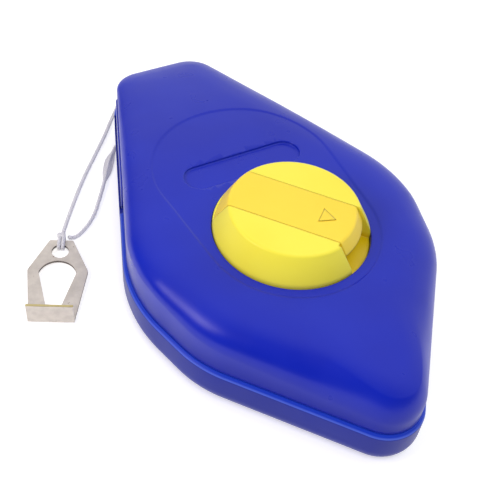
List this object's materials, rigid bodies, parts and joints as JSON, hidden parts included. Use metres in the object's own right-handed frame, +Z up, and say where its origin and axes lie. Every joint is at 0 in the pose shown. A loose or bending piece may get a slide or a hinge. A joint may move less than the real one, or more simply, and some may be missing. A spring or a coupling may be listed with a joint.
{
  "type": "chalk line reel",
  "caption": "Hand chalk line reel: pear-shaped two-shell case with fold-out crank, chalk filling door, braided line and steel end hook.",
  "frame": {"origin": "on the spool axis, in the plane of the flat underside", "axes": "+Y from the spool axis to the nose where the line leaves, +Z up through the crank, +X to the right seen from above with the nose away"},
  "size_m": [0.1172, 0.1661, 0.0391],
  "materials": {
    "case_upper": "moulded, satin gloss",
    "case_lower": "moulded, satin gloss",
    "steel": "zinc plated",
    "brass": "turned",
    "felt": "pressed felt",
    "grey_felt": "pressed felt",
    "braid": "braided cotton",
    "spool_plastic": "moulded",
    "crank_plastic": "moulded, satin gloss",
    "lever_plastic": "moulded, satin gloss",
    "seal_rubber": "soft",
    "hook_steel": "bare stamped sheet with a few rust specks"
  },
  "bodies": {
    "case": {"upper_shell": "case_upper", "lower_shell": "case_lower", "case_screws": "steel", "line_eyelet": "brass", "wiper_lower": "felt", "wiper_upper": "felt", "axle_bush": "brass", "axle_screw": "steel", "axle_washer": "steel", "dust_ring": "grey_felt", "inner_line": "braid", "door_pin": "steel", "free_line": "braid", "line_tail": "braid"},
    "reel": {"spool": "spool_plastic", "wound_line": "braid", "crank_disc": "crank_plastic", "lever_pin": "steel"},
    "lever": {"crank_lever": "lever_plastic", "grip_rivet": "steel"},
    "grip": {"finger_grip": "crank_plastic"},
    "door": {"fill_door": "case_upper", "door_seal": "seal_rubber"},
    "end_hook": {"hook": "hook_steel", "line_knot": "braid"}
  },
  "joints": [
    {"name": "reel_spin", "type": "hinge", "parent": "case", "child": "reel", "pos_m": [0, 0, 0.0126], "axis": [0, 0, 1], "continuous": true},
    {"name": "crank_fold", "type": "hinge", "parent": "reel", "child": "lever", "pos_m": [-0.00913, 0.01088, 0.0351], "axis": [-0.766, -0.6428, 0], "range_deg": [0, 180]},
    {"name": "grip_spin", "type": "hinge", "parent": "lever", "child": "grip", "pos_m": [0.00579, -0.00689, 0.031], "axis": [0, 0, 1], "continuous": true},
    {"name": "door_swing", "type": "hinge", "parent": "case", "child": "door", "pos_m": [-0.01684, 0.08051, 0.0145], "axis": [0, 0, -1], "range_deg": [0, 90]},
    {"name": "hook_tilt", "type": "hinge", "parent": "case", "child": "end_hook", "pos_m": [-0.0514, 0.0487, 0.0016], "axis": [-0.8942, 0.4478, 0], "range_deg": [0, 80]}
  ]
}
